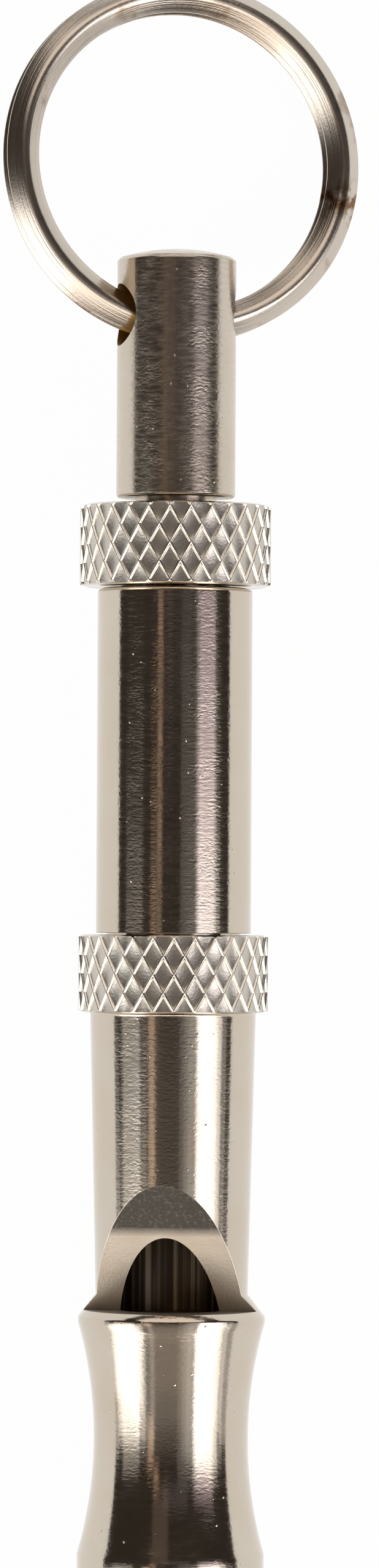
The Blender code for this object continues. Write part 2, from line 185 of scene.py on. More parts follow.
class WhistleBarrelSizes(bpy.types.PropertyGroup):
    """Sizes of the barrel and the lock nut."""

    radius: length("Barrel radius", "Outer radius of the barrel", 4.65)
    edge_round: length("Barrel edge", "Rounding of the barrel's upper edge", 0.3)
    seat_edge: length("Seat edge", "Rounding of the barrel's lower edge", 0.05)
    seat_gap: length("Seat gap", "Room between the collar and the barrel", 0.1)
    spigot_radius: length("Spigot radius", "Radius of the spigot in the collar", 4.0)
    threaded_length: length("Threaded length", "Length of the tapped hole", 8.0)
    tapped_radius: length("Tapped radius", "Radius of the tapped holes", 3.08)
    mouth_chamfer: length("Hole chamfer", "Chamfer at the mouth of a tapped hole", 0.25)
    nut_radius: length("Nut radius", "Radius over the knurl of the lock nut", 5.74)
    nut_turn: angle("Nut turn", "How far the lock nut is turned on the thread", 3.2)


class WhistleScrewSizes(bpy.types.PropertyGroup):
    """Sizes of the tuning screw, the piston and the windway plug."""

    stem_radius: length("Stem radius", "Outer radius of the stem", 3.57)
    stem_gap: length("Stem gap", "Bare thread between the lock nut and the stem", 0.45)
    stem_edge: length("Stem edge", "Rounding of the stem's edges", 0.2)
    dome: length("Dome", "Height of the stem's domed top", 0.5)
    dome_edge: length("Dome edge", "Rounding of the chamfer round the domed top", 0.12)
    hole_radius: length("Cross hole radius", "Radius of the hole for the ring", 1.867)
    hole_edge: length("Cross hole edge", "Width of the broken edge of the cross hole", 0.06)
    thread_radius: length("Thread radius", "Radius over the thread's crests", 3.0)
    thread_pitch: length("Thread pitch", "Rise of the thread in one turn", 1.0)
    thread_depth: length("Thread depth", "Depth of the thread", 0.55)
    thread_length: length("Thread length", "Length of the thread below the stem", 22.9)
    thread_sink: length("Thread sink", "How deep the thread's foot is sunk in the core", 0.05)
    crest: share("Crest", "Half the width of the thread's crest, as a share of the pitch", 0.05)
    run_out: length("Run-out", "Height of the cone from the thread's core to the rod", 0.3)
    rod_radius: length("Rod radius", "Radius of the rod to the piston", 2.0)
    tenon_radius: length("Tenon radius", "Radius of the tenon in the piston", 1.45)
    rivet_radius: length("Rivet radius", "Radius of the tenon's riveted head", 2.1)
    rivet_length: length("Rivet length", "Height of the riveted head", 1.0)
    rivet_round: length("Rivet rounding", "Rounding of the riveted head", 0.3)
    gap: length("Gap", "Room between pieces that seat on each other", 0.1)
    running_gap: length("Running gap", "Room round a piece that slides or turns", 0.08)
    windway: length("Windway", "Height of the slit for the breath", 0.7)
    brass_edge: length("Brass edge", "Rounding of the piston's and the plug's edges", 0.2)


class WhistleRingSizes(bpy.types.PropertyGroup):
    """Sizes of the split ring."""

    radius: length("Ring radius", "Outer radius of the ring", 11.0)
    wire_width: length("Wire width", "Width of the flattened wire", 1.98)
    height: length("Ring height", "Height over both turns", 1.82)
    hairline: length("Hairline", "Room between the two turns", 0.05)
    side: length("Side", "Height of the wire's upright sides below its roof", 0.1)
    slope: angle("Slope", "Slope of both sides of the wire's roof", 44.0)
    eave_round: length("Eave rounding", "Rounding between the roof and the sides", 0.1)
    foot_round: length("Foot rounding", "Rounding of the wire's lower edges", 0.05)
    split: angle("Split", "Place round the ring where the wire has reached the upper turn", -79.0)
    crossover: angle("Crossover", "Arc in which the wire climbs to the upper turn", 22.0)
    end_gap: angle("End gap", "Arc between a wire end and the crossover", 3.0)
    shift: length("Shift", "How far the ring has slid along the cross hole", 0.57)
    lean: angle("Lean", "How far the ring leans down at rest", 4.0)


class WhistleFinish(bpy.types.PropertyGroup):
    """Colours and gloss of the metals."""

    nickel: colour("Nickel plate", "Bright nickel, a warm grey", "#D0C8BC")
    nickel_warm: colour("Warm nickel", "Thinner or older plate", "#C8B9A6")
    # The next two colours are a painted highlight on the knurl's ridges and painted shade in its pits
    ridge: colour("Worn ridges", "Plate rubbed bright on the ridges of the knurl", "#E8E2D7")
    pit_shade_tint: colour("Grime", "Dirt in the pits of the knurl", "#5E5346")
    milled: colour("Milled nickel", "Plate on the milled cut of the window", "#D2CCC0")
    # A painted dark reflection, which darkens the window's cut at its tip and foot
    window_painted_shade: colour("Milled nickel, dark", "Dull plate at the tip of the window's cut", "#56534D")
    brass: colour("Brass", "Bare brass", "#D8B46A")
    brass_dark: colour("Tarnished brass", "Brass gone dull", "#A98445")
    bore: colour("Bore", "Dark, tarnished brass in the bore", "#62564A")
    bore_light: colour("Bore, lighter", "Streaks along the bore", "#D6C7B0")
    ring: colour("Ring plate", "Nickel plate on the ring's wire", "#D1C9BE")
    ring_warm: colour("Ring, warm", "Worn plate on the ring's wire", "#C6B9AA")
    # The colour of one brown patch on the ring's wire
    ring_brown: colour("Ring, rust", "Brown patches where the ring's plate is gone", "#7A5A40")
    patch_place: angle("Patch place", "Where the ring's bare patch lies round the ring", -13.0)
    patch_width: angle("Patch width", "How far the bare patch reaches to both sides", 9.0)
    gloss: share("Roughness", "Roughness of the bright plate", 0.12)
    worn_gloss: share("Worn roughness", "Roughness of the plate on the stem, which the ring rubs", 0.23)
    grain: length("Grain", "Height of the grains of the bright plate", 0.008)
    knurl_gloss: share("Knurl roughness", "Roughness of the plate in the pits of the knurl", 0.34)
    # How strongly painted shade darkens the floor of a pit of the knurl
    pit_shade: share("Dirt", "Share of dirt on the floor of a pit of the knurl", 0.28)


class WhistleStage(bpy.types.PropertyGroup):
    """Camera, lamps and floor."""

    camera_height: length("Camera height", "Height of the camera over the whistle's axis", 405.0)
    camera_along: length("Camera along", "Place of the camera along the axis", 41.3)
    camera_across: length("Camera across", "Place of the camera across the axis", 0.98)
    aim_along: length("Aim along", "Where the camera looks along the axis", 47.66)
    aim_across: length("Aim across", "Where the camera looks across the axis", 0.95)
    camera_roll: angle("Camera roll", "Turn of the camera about its view", 0.3)
    view_height: length("View height", "Height of the picture at the whistle's axis", 94.22)
    floor_size: length("Floor size", "Side of the floor", 20000.0)
    lamp_distance: length("Lamp distance", "Distance of the lamps from the axis", 800.0)
    lamp_step: length("Lamp step", "How far each lamp hangs behind the one before it", 5.0)
    lamp_level: FloatProperty(
        name="Lamp level", description="Brightness of the lamps' faces", default=1.0, min=0.0
    )
    floor_glow: share("Floor glow", "Share of plain white in the floor as it is seen", 0.975)
    table: colour("Table", "Matt white table top", "#F4F3F0")
    room: colour("Room", "The dim room above the whistle", "#36312C")
    card: colour("Card", "Brown card that shows as a thin line", "#C4AA95")
    dusk: colour("Dusk", "Lilac light past the end of the right lamp", "#DCCCE0")
    wall: colour("Wall", "Pale warm walls past both ends of the whistle", "#F4EAE2")


def add_node(tree, kind, inputs=None, **settings):
    """Adds a shader node with its settings, and sets or links its inputs, a node by its first output."""
    node = tree.nodes.new("ShaderNode" + kind)
    for name, value in settings.items():
        setattr(node, name, value)
    for name, value in (inputs or {}).items():
        if isinstance(value, bpy.types.Node):
            value = value.outputs[0]
        if isinstance(value, bpy.types.NodeSocket):
            tree.links.new(value, node.inputs[name])
        else:
            node.inputs[name].default_value = value
    return node


def new_material(name):
    """A material with an empty node tree."""
    made = bpy.data.materials.new(name)
    made.use_nodes = True
    made.node_tree.nodes.clear()
    return made, made.node_tree


def opaque(tint):
    """A colour with full alpha, as a colour socket takes it."""
    return (*tint, 1.0)


def per(millimetres):
    """A texture scale whose grain has this size."""
    return 1 / (millimetres * MM)


def metal_surface(tree, base, roughness, normal):
    """The shader that all the metals end in, with its base colour from a Mix node."""
    inputs = {"Base Color": base.outputs[MIXED], "Metallic": 1.0, "Roughness": roughness, "Normal": normal}
    shader = add_node(tree, "BsdfPrincipled", inputs)
    add_node(tree, "OutputMaterial", {"Surface": shader})


def bright_nickel(finish, name, gloss, grain_height):
    """Bright nickel electroplated on turned brass.

    To the eye: a warm grey mirror, blurred by patches of fine grain and by faint ripples that the lathe left
    round the piece, with a few pits that glint and a yellower cast where the plate is thin. Worn plate is
    blurred more.
    """
    cast_size, patch_size, pit_spacing, ripple_size = 4.0, 1.3, 0.9, 0.7
    # Real grain and lathe lines are a few hundredths wide, too fine to show, so they are drawn coarser
    grain_size, line_width = 0.24, 0.09
    ripple_height, pit_height, line_height = 0.004 * MM, 0.016 * MM, 0.0006 * MM
    # Ripples and grain are longer round the piece than along it
    ripple_stretch, grain_stretch = (1.0, 4.0, 1.0), (1.0, 1.8, 1.0)
    made, tree = new_material(name)
    place = add_node(tree, "TexCoord").outputs["Object"]
    along = add_node(tree, "SeparateXYZ", {"Vector": place}).outputs["Y"]
    cast = add_node(tree, "TexNoise", {"Vector": place, "Scale": per(cast_size), "Detail": 3.0})
    tints = {FACTOR: cast, FIRST: opaque(finish.nickel), SECOND: opaque(finish.nickel_warm)}
    base = add_node(tree, "Mix", tints, data_type="RGBA")

    long_ripple = add_node(tree, "Mapping", {"Vector": place, "Scale": ripple_stretch})
    ripple = add_node(tree, "TexNoise", {"Vector": long_ripple, "Scale": per(ripple_size), "Detail": 2.0})
    blur = {"From Min": 0.35, "From Max": 0.65, "To Min": 0.8 * gloss, "To Max": 1.2 * gloss}
    rough = add_node(tree, "MapRange", {"Value": ripple, **blur})
    ripples = add_node(tree, "Bump", {"Height": ripple, "Distance": ripple_height})

    long_grain = add_node(tree, "Mapping", {"Vector": place, "Scale": grain_stretch})
    grain = add_node(tree, "TexNoise", {"Vector": long_grain, "Scale": per(grain_size), "Detail": 3.0})
    patches = add_node(tree, "TexNoise", {"Vector": place, "Scale": per(patch_size), "Detail": 2.0})
    patchy = {"From Min": 0.38, "From Max": 0.62, "To Min": 0.2, "To Max": 1.0}
    grainy = add_node(tree, "MapRange", {"Value": patches, **patchy})
    grained = {"Strength": grainy, "Height": grain, "Distance": grain_height, "Normal": ripples}
    grains = add_node(tree, "Bump", grained)

    specks = add_node(tree, "TexVoronoi", {"Vector": place, "Scale": per(pit_spacing)})
    pit = add_node(tree, "MapRange", {"Value": specks, "From Min": 0.08, "From Max": 0.02})
    pits = add_node(tree, "Bump", {"Height": pit, "Distance": pit_height, "Normal": grains})

    turning = {"W": along, "Scale": per(line_width), "Detail": 2.0}
    lathe = add_node(tree, "TexNoise", turning, noise_dimensions="1D")
    lines = add_node(tree, "Bump", {"Height": lathe, "Distance": line_height, "Normal": pits})
    metal_surface(tree, base, rough, lines)
    return made


def knurled_nickel(finish, name, crest, floor):
    """The same plate on a knurl, between the radii of its crests and of its pits' floors.

    To the eye: ridges made lighter with a painted highlight, and duller pits darkened by painted shade.
    """
    # The real grain is too fine to show, so it is drawn coarser
    grain_size, grain_height = 0.15, 0.012 * MM
    unshaded_depth, crest_gloss = 0.4, 0.2
    made, tree = new_material(name)
    place = add_node(tree, "TexCoord").outputs["Object"]
    split = add_node(tree, "SeparateXYZ", {"Vector": place}).outputs
    across = add_node(tree, "CombineXYZ", {"X": split["X"], "Y": split["Z"]})
    radius = add_node(tree, "VectorMath", {0: across}, operation="LENGTH").outputs["Value"]
    sunk = add_node(tree, "MapRange", {"Value": radius, "From Min": crest, "From Max": floor})
    # Painted shade: the deeper a point lies in a pit, the darker it is coloured, and the ridges keep the
    # lighter painted highlight colour
    pit_shade = add_node(tree, "MapRange", {"Value": sunk, "From Min": unshaded_depth, "To Max": finish.pit_shade})
    tints = {FACTOR: pit_shade, FIRST: opaque(finish.ridge), SECOND: opaque(finish.pit_shade_tint)}
    base = add_node(tree, "Mix", tints, data_type="RGBA")
    rough = add_node(tree, "MapRange", {"Value": sunk, "To Min": crest_gloss, "To Max": finish.knurl_gloss})
    grain = add_node(tree, "TexNoise", {"Vector": place, "Scale": per(grain_size), "Detail": 2.0})
    grains = add_node(tree, "Bump", {"Height": grain, "Distance": grain_height})
    metal_surface(tree, base, rough, grains)
    return made


def milled_nickel(finish, window_bottom):
    """Nickel plate on the face that a cutter left in the window.

    To the eye: a matter grey than the turned outside, with fine straight cutter marks across it, pale along
    its sides.
    Its tip, and less its foot, are darkened by a painted dark reflection.
    """
    cast_size, scuff_size = 1.6, 0.2
    # Real cutter marks and grain are too fine to show, so they are drawn coarser
    mark_width, grain_size = 0.12, 0.15
    mark_height, grain_height = 0.004 * MM, 0.014 * MM
    # Where the painted dark reflection lies: at the tip of the cut, and half as strong at its foot
    tip_start, tip_end = window_bottom + 4.5 * MM, window_bottom + 5.1 * MM
    foot_start, foot_end = window_bottom + 1.1 * MM, window_bottom - 0.2 * MM
    foot_shade_share = 0.5
    made, tree = new_material("milled_nickel_cut")
    place = add_node(tree, "TexCoord").outputs["Object"]
    along = add_node(tree, "SeparateXYZ", {"Vector": place}).outputs["Y"]
    cast = add_node(tree, "TexNoise", {"Vector": place, "Scale": per(cast_size), "Detail": 5.0})
    tints = {FACTOR: cast, FIRST: opaque(finish.milled), SECOND: opaque(finish.nickel_warm)}
    pale = add_node(tree, "Mix", tints, data_type="RGBA").outputs[MIXED]
    rough = add_node(tree, "MapRange", {"Value": cast, "To Min": 0.45, "To Max": 0.6})

    tip = add_node(tree, "MapRange", {"Value": along, "From Min": tip_start, "From Max": tip_end})
    low = {"Value": along, "From Min": foot_start, "From Max": foot_end, "To Max": foot_shade_share}
    foot = add_node(tree, "MapRange", low)
    ends = add_node(tree, "Math", {0: tip, 1: foot}, operation="ADD")
    scuff = add_node(tree, "TexNoise", {"Vector": place, "Scale": per(scuff_size), "Detail": 4.0})
    rubbing = {"From Min": 0.5, "From Max": 0.8, "To Min": 1.0, "To Max": 0.8}
    rubbed = add_node(tree, "MapRange", {"Value": scuff, **rubbing})
    # The painted dark reflection at the tip and foot, broken up a little by scuffs
    dull = add_node(tree, "Math", {0: ends, 1: rubbed}, operation="MULTIPLY")
    tints = {FACTOR: dull, FIRST: pale, SECOND: opaque(finish.window_painted_shade)}
    base = add_node(tree, "Mix", tints, data_type="RGBA")

    milling = {"W": along, "Scale": per(mark_width), "Detail": 2.0}
    cutter = add_node(tree, "TexNoise", milling, noise_dimensions="1D")
    marks = add_node(tree, "Bump", {"Height": cutter, "Distance": mark_height})
    grain = add_node(tree, "TexNoise", {"Vector": place, "Scale": per(grain_size), "Detail": 2.0})
    grains = add_node(tree, "Bump", {"Height": grain, "Distance": grain_height, "Normal": marks})
    metal_surface(tree, base, rough, grains)
    return made


def bare_brass(finish):
    """Turned or drilled brass that the plating didn't reach.

    To the eye: yellow metal with fine tool lines round the whistle and brown tarnish in patches.
    """
    # Real tool lines are too fine to show, so they are drawn coarser
    tarnish_size, line_width, line_height = 1.2, 0.12, 0.004 * MM
    made, tree = new_material("bare_turned_brass")
    place = add_node(tree, "TexCoord").outputs["Object"]
    along = add_node(tree, "SeparateXYZ", {"Vector": place}).outputs["Y"]
    tarnish = add_node(tree, "TexNoise", {"Vector": place, "Scale": per(tarnish_size), "Detail": 4.0})
    tints = {FACTOR: tarnish, FIRST: opaque(finish.brass), SECOND: opaque(finish.brass_dark)}
    base = add_node(tree, "Mix", tints, data_type="RGBA")
    rough = add_node(tree, "MapRange", {"Value": tarnish, "To Min": 0.25, "To Max": 0.45})
    turning = {"W": along, "Scale": per(line_width), "Detail": 2.0}
    lathe = add_node(tree, "TexNoise", turning, noise_dimensions="1D")
    lines = add_node(tree, "Bump", {"Height": lathe, "Distance": line_height})
    metal_surface(tree, base, rough, lines)
    return made


def dull_bore(finish):
    """Bored brass, coloured dark brown inside the whistle.

    To the eye: dark brown, with lighter streaks along the bore.
    """
    streak_width, streak_height = 0.4, 0.02 * MM
    made, tree = new_material("dull_bored_brass")
    place = add_node(tree, "TexCoord").outputs["Object"]
    split = add_node(tree, "SeparateXYZ", {"Vector": place}).outputs
    across = add_node(tree, "CombineXYZ", {"X": split["X"], "Y": split["Z"]})
    streaks = {"Vector": across, "Scale": per(streak_width), "Detail": 3.0}
    streak = add_node(tree, "TexNoise", streaks, noise_dimensions="2D")
    light = add_node(tree, "MapRange", {"Value": streak, "From Min": 0.48, "From Max": 0.68})
    tints = {FACTOR: light, FIRST: opaque(finish.bore), SECOND: opaque(finish.bore_light)}
    base = add_node(tree, "Mix", tints, data_type="RGBA")
    rough = add_node(tree, "MapRange", {"Value": streak, "To Min": 0.3, "To Max": 0.55})
    lines = add_node(tree, "Bump", {"Height": streak, "Distance": streak_height})
    metal_surface(tree, base, rough, lines)
    return made


def ring_wire(finish, to_ring):
    """Nickel-plated spring steel wire, rolled flat and wound.

    To the eye: a soft shine with fine drawing lines that run along the wire, and a warm cast where it has
    rubbed, with one brown patch. The lines are rings about the ring's own centre.
    """
    cast_size, blot_size = 2.5, 0.8
    # Real drawing lines and grain are too fine to show, so they are drawn coarser
    line_width, grain_size = 0.09, 0.14
    line_height, grain_height = 0.012 * MM, 0.004 * MM
    patch_middle = 0.2 * finish.patch_width
    made, tree = new_material("plated_ring_wire")
    place = add_node(tree, "TexCoord").outputs["Object"]
    shifted = {"Vector": place, "Location": to_ring.translation, "Rotation": to_ring.to_euler()}
    moved = add_node(tree, "Mapping", shifted)
    split = add_node(tree, "SeparateXYZ", {"Vector": moved}).outputs
    flat = add_node(tree, "CombineXYZ", {"X": split["X"], "Y": split["Y"]})
    radius = add_node(tree, "VectorMath", {0: flat}, operation="LENGTH").outputs["Value"]
    section = add_node(tree, "CombineXYZ", {"X": radius, "Y": split["Z"]})

    cast = add_node(tree, "TexNoise", {"Vector": place, "Scale": per(cast_size), "Detail": 3.0})
    tints = {FACTOR: cast, FIRST: opaque(finish.ring), SECOND: opaque(finish.ring_warm)}
    plate = add_node(tree, "Mix", tints, data_type="RGBA").outputs[MIXED]
    worn = add_node(tree, "MapRange", {"Value": cast, "From Min": 0.6, "From Max": 0.72, "To Max": 0.6})
    bearing = add_node(tree, "Math", {0: split["Y"], 1: split["X"]}, operation="ARCTAN2")
    from_patch = add_node(tree, "Math", {0: bearing, 1: finish.patch_place}, operation="SUBTRACT")
    off_patch = add_node(tree, "Math", {0: from_patch}, operation="ABSOLUTE")
    reach = {"From Min": finish.patch_width, "From Max": patch_middle}
    patch = add_node(tree, "MapRange", {"Value": off_patch, **reach})
    blots = add_node(tree, "TexNoise", {"Vector": place, "Scale": per(blot_size), "Detail": 3.0})
    spotty = add_node(tree, "MapRange", {"Value": blots, "From Min": 0.4, "From Max": 0.55})
    bare = add_node(tree, "Math", {0: patch, 1: spotty}, operation="MULTIPLY")
    gone = add_node(tree, "Math", {0: worn, 1: bare}, operation="MAXIMUM")
    tints = {FACTOR: gone, FIRST: plate, SECOND: opaque(finish.ring_brown)}
    base = add_node(tree, "Mix", tints, data_type="RGBA")

    drawing = {"Vector": section, "Scale": per(line_width), "Detail": 2.0}
    drawn = add_node(tree, "TexNoise", drawing, noise_dimensions="2D")
    rough = add_node(tree, "MapRange", {"Value": drawn, "To Min": 0.16, "To Max": 0.3})
    lines = add_node(tree, "Bump", {"Height": drawn, "Distance": line_height})
    grain = add_node(tree, "TexNoise", {"Vector": place, "Scale": per(grain_size), "Detail": 1.0})
    grains = add_node(tree, "Bump", {"Height": grain, "Distance": grain_height, "Normal": lines})
    metal_surface(tree, base, rough, grains)
    return made


def white_table(settings):
    """Plain white table top, seen as white, that keeps some of the whistle's shadow."""
    made, tree = new_material("white_table")
    rays = add_node(tree, "LightPath").outputs
    seen = rays["Is Camera Ray"]
    for kind in ("Is Glossy Ray", "Is Transmission Ray"):
        seen = add_node(tree, "Math", {0: seen, 1: rays[kind]}, operation="MAXIMUM")
    glow = add_node(tree, "Math", {0: seen, 1: settings.floor_glow}, operation="MULTIPLY")
    matt = add_node(tree, "BsdfDiffuse", {"Color": opaque(settings.table)})
    white = add_node(tree, "Emission", {"Strength": 1.0})
    mixed = add_node(tree, "MixShader", {0: glow, 1: matt, 2: white})
    add_node(tree, "OutputMaterial", {"Surface": mixed})
    return made


def rounded(corners):
    """Outline points from (radius, height, rounding) corners, with an arc at each rounded corner."""
    points = []
    count = len(corners)
    for i, (x, y, rounding) in enumerate(corners):
        corner = Vector((x, y))
        if not rounding:
            points.append((x, y))
            continue
        back = (Vector(corners[i - 1][:2]) - corner).normalized()
        ahead = (Vector(corners[(i + 1) % count][:2]) - corner).normalized()
        half = back.angle(ahead) / 2
        centre = corner + (back + ahead).normalized() * rounding / sin(half)
        first = corner + back * rounding / tan(half) - centre
        swing = first.angle_signed(corner + ahead * rounding / tan(half) - centre)
        for step in range(ARC_STEPS + 1):
            turn = Matrix.Rotation(-swing * step / ARC_STEPS, 2)
            points.append(tuple(centre + turn @ first))
    return points


def hourglass(rim_radius, waist_radius, top, bottom):
    """The mouthpiece's hollow side, one arc from rim to rim through the waist, as sharp corners."""
    half = (top - bottom) / 2
    drop = rim_radius - waist_radius
    radius = (half**2 + drop**2) / (2 * drop)
    spread = asin(half / radius)
    corners = []
    for step in range(WAIST_STEPS + 1):
        at = spread - 2 * spread * step / WAIST_STEPS
        corners.append((waist_radius + radius - radius * cos(at), bottom + half + radius * sin(at), 0.0))
    return corners


def take(piece):
    """Makes a piece the only selected object."""
    bpy.ops.object.select_all(action="DESELECT")
    bpy.context.view_layer.objects.active = piece
    piece.select_set(True)


def settle(piece):
    """Puts a piece's place and turn into its mesh."""
    take(piece)
    bpy.ops.object.transform_apply(location=True, rotation=True, scale=True)


def choose(piece, kind, test):
    """Selects the vertices, edges or faces that pass a test, in edit mode."""
    bpy.ops.mesh.select_mode(type=kind)
    bpy.ops.mesh.select_all(action="DESELECT")
    work = bmesh.from_edit_mesh(piece.data)
    for element in {"VERT": work.verts, "EDGE": work.edges, "FACE": work.faces}[kind]:
        if test(element):
            element.select_set(True)
    bmesh.update_edit_mesh(piece.data)


def close_up():
    """Merges doubles and turns all faces outwards, in edit mode."""
    bpy.ops.mesh.select_all(action="SELECT")
    bpy.ops.mesh.remove_doubles(threshold=WELD)
    bpy.ops.mesh.normals_make_consistent(inside=False)


def fill():
    """Fills a drawn outline that ends where it starts with one face, in edit mode."""
    bpy.ops.mesh.select_all(action="SELECT")
    bpy.ops.mesh.remove_doubles(threshold=WELD)
    bpy.ops.mesh.edge_face_add()


def draw(name, points):
    """Starts a piece as a line of vertices, extruded one by one, and stays in edit mode."""
    bpy.ops.object.select_all(action="DESELECT")
    bpy.ops.mesh.primitive_plane_add(size=MM)
    piece = bpy.context.object
    piece.name = piece.data.name = name
    bpy.ops.object.mode_set(mode="EDIT")
    bpy.ops.mesh.select_mode(type="VERT")
    bpy.ops.mesh.merge(type="CENTER")
    bpy.ops.transform.translate(value=points[0])
    for here, there in zip(points, points[1:]):
        step = Vector(there) - Vector(here)
        bpy.ops.mesh.extrude_vertices_move(TRANSFORM_OT_translate={"value": step})
    return piece


def turned(name, corners, material=None, steps=TURN_STEPS):
    """A piece turned about the whistle's axis from (radius, height, rounding) corners.

    An outline that starts and ends on the axis is left open there. Any other is closed.
    """
    points = [(radius, height, 0.0) for radius, height in rounded(corners)]
    if points[0][0] or points[-1][0]:
        points.append(points[0])
    piece = draw(name, points)
    bpy.ops.mesh.select_all(action="SELECT")
    bpy.ops.mesh.spin(steps=steps, angle=tau, center=ORIGIN, axis=(0.0, 1.0, 0.0))
    close_up()
    bpy.ops.object.mode_set(mode="OBJECT")
    if material:
        piece.data.materials.append(material)
    return piece


def apply_modifier(piece, kind, **settings):
    """Adds a modifier to a piece and applies it."""
    take(piece)
    bpy.ops.object.modifier_add(type=kind)
    modifier = piece.modifiers[-1]
    for name, value in settings.items():
        setattr(modifier, name, value)
    bpy.ops.object.modifier_apply(modifier=modifier.name)


def work_with(piece, tool, operation):
    """Cuts a piece with a tool, or joins the tool to it, and puts the tool away."""
    settings = {"object": tool, "solver": "EXACT", "material_mode": "TRANSFER"}
    apply_modifier(piece, "BOOLEAN", operation=operation, **settings)
    bpy.data.meshes.remove(tool.data)


def break_edges(piece, slot_index, width):
    """Bevels the edges between the faces of one material slot and the rest, and keeps those faces crisp."""
    take(piece)
    bpy.ops.object.mode_set(mode="EDIT")

    def borders(edge):
        return len({face.material_index == slot_index for face in edge.link_faces}) == 2

    choose(piece, "EDGE", borders)
    bpy.ops.mesh.bevel(offset=width, segments=2, affect="EDGES", clamp_overlap=True, material=0)
    choose(piece, "EDGE", borders)
    bpy.ops.mesh.mark_sharp()
    bpy.ops.object.mode_set(mode="OBJECT")


def knurling_tool(name, crest_radius, middle, turn, sizes):
    """A thick sleeve whose inside is the knurl's negative: a net of grooves for the ridges."""
    bottom = middle - sizes.rows * sizes.height / 2
    bpy.ops.object.select_all(action="DESELECT")
    bpy.ops.mesh.primitive_circle_add(
        vertices=sizes.count, radius=crest_radius, location=(0.0, bottom, 0.0), rotation=(pi / 2, 0.0, 0.0)
    )
    tool = bpy.context.object
    tool.name = tool.data.name = name
    settle(tool)
    bpy.ops.object.mode_set(mode="EDIT")
    bpy.ops.mesh.select_mode(type="EDGE")
    bpy.ops.mesh.select_all(action="SELECT")
    for _ in range(sizes.rows):
        bpy.ops.mesh.extrude_region_move(TRANSFORM_OT_translate={"value": (0.0, sizes.height, 0.0)})
    bpy.ops.mesh.select_all(action="SELECT")
    bpy.ops.mesh.normals_make_consistent(inside=False)

    # A poked grid without its old edges is a net of diamonds, and its middles go out to the crests' radius
    bpy.ops.mesh.poke()
    choose(tool, "VERT", lambda vertex: hypot(vertex.co.x, vertex.co.z) < crest_radius - SAME)
    out = 1 / cos(pi / sizes.count)
    bpy.ops.transform.resize(value=(out, 1.0, out), center_override=ORIGIN)

    def old_edge(edge):
        rise = abs(edge.verts[0].co.y - edge.verts[1].co.y)
        return len(edge.link_faces) == 2 and abs(rise - sizes.height / 2) > SAME

    choose(tool, "EDGE", old_edge)
    bpy.ops.mesh.dissolve_edges(use_verts=False)

    # Each diamond is inset in steps, so that the ridges between the pits have rounded flanks
    bpy.ops.mesh.select_mode(type="FACE")
    bpy.ops.mesh.select_all(action="SELECT")
    for step in range(FLANK_STEPS):
        before, after = (cos(pi * (step + i) / FLANK_STEPS) for i in (0, 1))
        sunk = sizes.depth * (before - after) / 2
        bpy.ops.mesh.inset(thickness=sizes.ridge / FLANK_STEPS, depth=-sunk, use_individual=True)

    # The sleeve's outer wall is wider than its inside by this factor
    sleeve = 1.3
    choose(tool, "EDGE", lambda edge: edge.is_boundary)
    bpy.ops.mesh.extrude_region_move()
    bpy.ops.transform.resize(value=(sleeve, 1.0, sleeve), center_override=ORIGIN)
    choose(tool, "EDGE", lambda edge: edge.is_boundary)
    bpy.ops.mesh.bridge_edge_loops()
    close_up()
    bpy.ops.object.mode_set(mode="OBJECT")
    tool.rotation_euler = (0.0, turn, 0.0)
    settle(tool)
    return tool


def cut_knurl(piece, label, crest_radius, middle, turn, scene):
    """Knurls a piece, and gives the knurl a plate of its own."""
    sizes = scene.whistle_knurl
    floor = crest_radius - sizes.depth
    plate = knurled_nickel(scene.whistle_finish, f"knurled_{label}_plate", crest_radius, floor)
    tool = knurling_tool(f"{label}_knurling", crest_radius, middle, turn, sizes)
    tool.data.materials.append(plate)
    work_with(piece, tool, "DIFFERENCE")


def set_up(piece, body, node):
    """Shades a finished piece and sets it on its body in place of its CAD node."""
    take(piece)
    bpy.ops.object.shade_smooth_by_angle(angle=SHARP_ANGLE)
    apply_modifier(piece, "WEIGHTED_NORMAL", keep_sharp=True)
    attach(piece, body)
    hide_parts(node)


